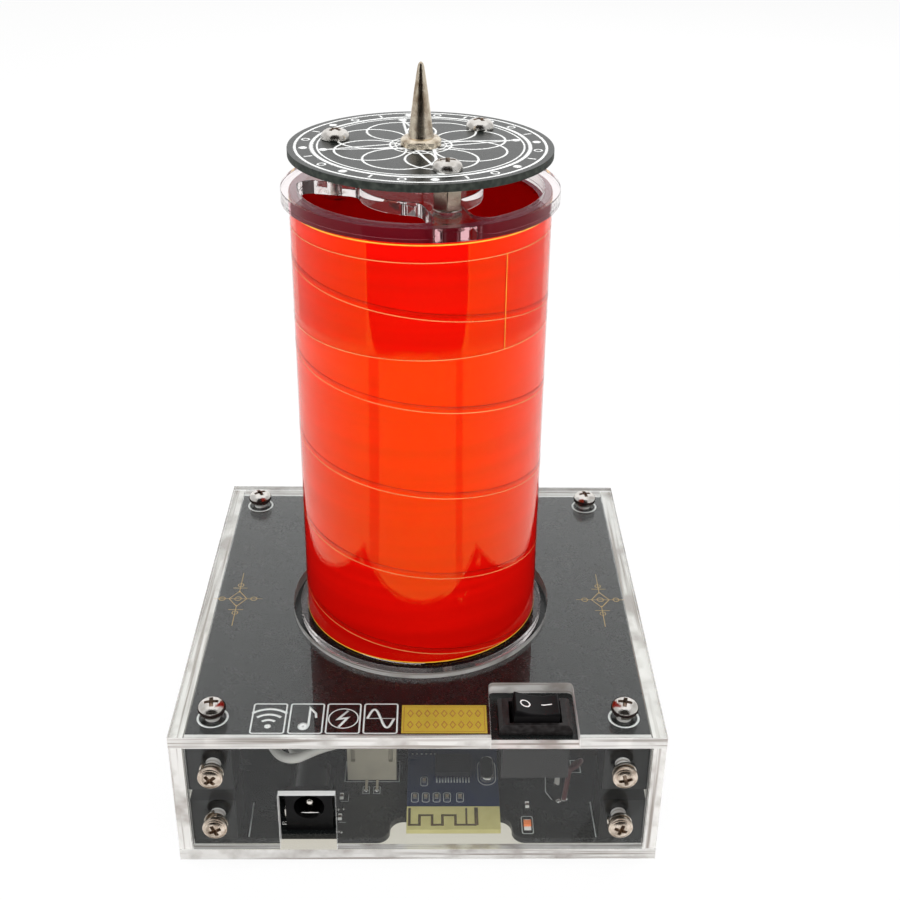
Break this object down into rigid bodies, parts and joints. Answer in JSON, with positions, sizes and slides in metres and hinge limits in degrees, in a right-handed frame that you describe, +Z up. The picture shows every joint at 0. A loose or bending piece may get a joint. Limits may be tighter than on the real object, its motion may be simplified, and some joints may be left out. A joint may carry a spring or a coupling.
{
  "type": "desktop resonant transformer",
  "caption": "Desktop resonant transformer: a red wound column with a round board and a discharge spike, on a clear square case holding its driver board, supply inlet and rocker switch.",
  "frame": {"origin": "centre of the case's outline at the plane that the feet stand on, under the column's axis", "axes": "+Z up along the column towards the discharge spike, +X to the right seen from the front, -Y towards the front with the supply inlet"},
  "size_m": [0.1064, 0.1152, 0.1661],
  "materials": {
    "clear_acrylic": "clear cast sheet and tube, polished faces, pale cut edges",
    "clear_rubber": "clear soft stick-on feet",
    "black_nylon": "moulded black nylon",
    "screw_steel": "bright nickel-plated steel",
    "spring_steel": "plated spring steel",
    "standoff_metal": "nickel-plated hexagonal bar",
    "spike_metal": "polished plated metal",
    "black_board": "black solder resist with white and gold print",
    "blue_board": "blue solder resist with a yellow aerial strip",
    "black_plastic": "moulded black plastic",
    "contact_metal": "tinned contact brass",
    "chip_black": "moulded black epoxy",
    "crystal_can": "drawn metal can",
    "ceramic_parts": "fired ceramic with tinned ends",
    "lamp_lens": "tinted clear lens",
    "cream_plastic": "moulded cream nylon",
    "white_wire": "white insulation",
    "red_wire": "red insulation",
    "former_plastic": "white tube",
    "sink_aluminium": "black anodised extrusion",
    "capacitor_sleeve": "shrunk sleeve on an aluminium can",
    "film_capacitor_case": "yellow moulded box",
    "red_winding": "close turns of red enamelled wire",
    "winding_wire": "red enamelled copper wire",
    "clear_film": "clear wrapped film"
  },
  "bodies": {
    "case": {"bottom_plate": "clear_acrylic", "top_plate": "clear_acrylic", "front_plate": "clear_acrylic", "back_plate": "clear_acrylic", "left_side_plate": "clear_acrylic", "right_side_plate": "clear_acrylic", "bottom_flange": "clear_acrylic", "top_flange": "clear_acrylic", "coil_tube": "clear_acrylic", "rubber_feet": "clear_rubber", "lower_corner_blocks": "black_nylon", "upper_corner_blocks": "black_nylon", "top_screws": "screw_steel", "wall_screws": "screw_steel", "bottom_screws": "screw_steel", "bottom_flange_screws": "screw_steel", "bottom_flange_nuts": "screw_steel", "column_screws": "screw_steel", "disc_screws": "screw_steel", "spike_screw": "screw_steel", "transistor_screws": "screw_steel", "top_spring_washers": "spring_steel", "wall_spring_washers": "spring_steel", "standoff_washers": "spring_steel", "standoffs": "standoff_metal", "discharge_spike": "spike_metal", "main_board": "black_board", "top_board": "black_board", "topload_disc": "black_board", "wireless_module": "blue_board", "dc_jack": "black_plastic", "switch_housing": "black_plastic", "dc_jack_pin": "contact_metal", "dc_jack_contacts": "contact_metal", "switch_terminals": "contact_metal", "connector_pins": "contact_metal", "module_chip": "chip_black", "driver_chips": "chip_black", "power_transistors": "chip_black", "module_crystal": "crystal_can", "module_chip_parts": "ceramic_parts", "chip_resistors": "ceramic_parts", "indicator_led": "lamp_lens", "connector_header": "cream_plastic", "connector_plug": "cream_plastic", "primary_lead_low": "white_wire", "primary_lead_high": "white_wire", "primary_coil": "white_wire", "switch_lead_white": "white_wire", "switch_lead_red": "red_wire", "primary_former": "former_plastic", "heat_sink": "sink_aluminium", "smoothing_capacitors": "capacitor_sleeve", "film_capacitor": "film_capacitor_case", "secondary_winding": "red_winding", "ground_lead": "winding_wire", "top_lead": "winding_wire", "tape_wrap": "clear_film"},
    "rocker": {"switch_rocker": "black_plastic"}
  },
  "joints": [
    {"name": "rocker_tilt", "type": "hinge", "parent": "case", "child": "rocker", "pos_m": [0.0254, -0.0434, 0.0339], "axis": [0, -1, 0], "range_deg": [0, 10]}
  ]
}
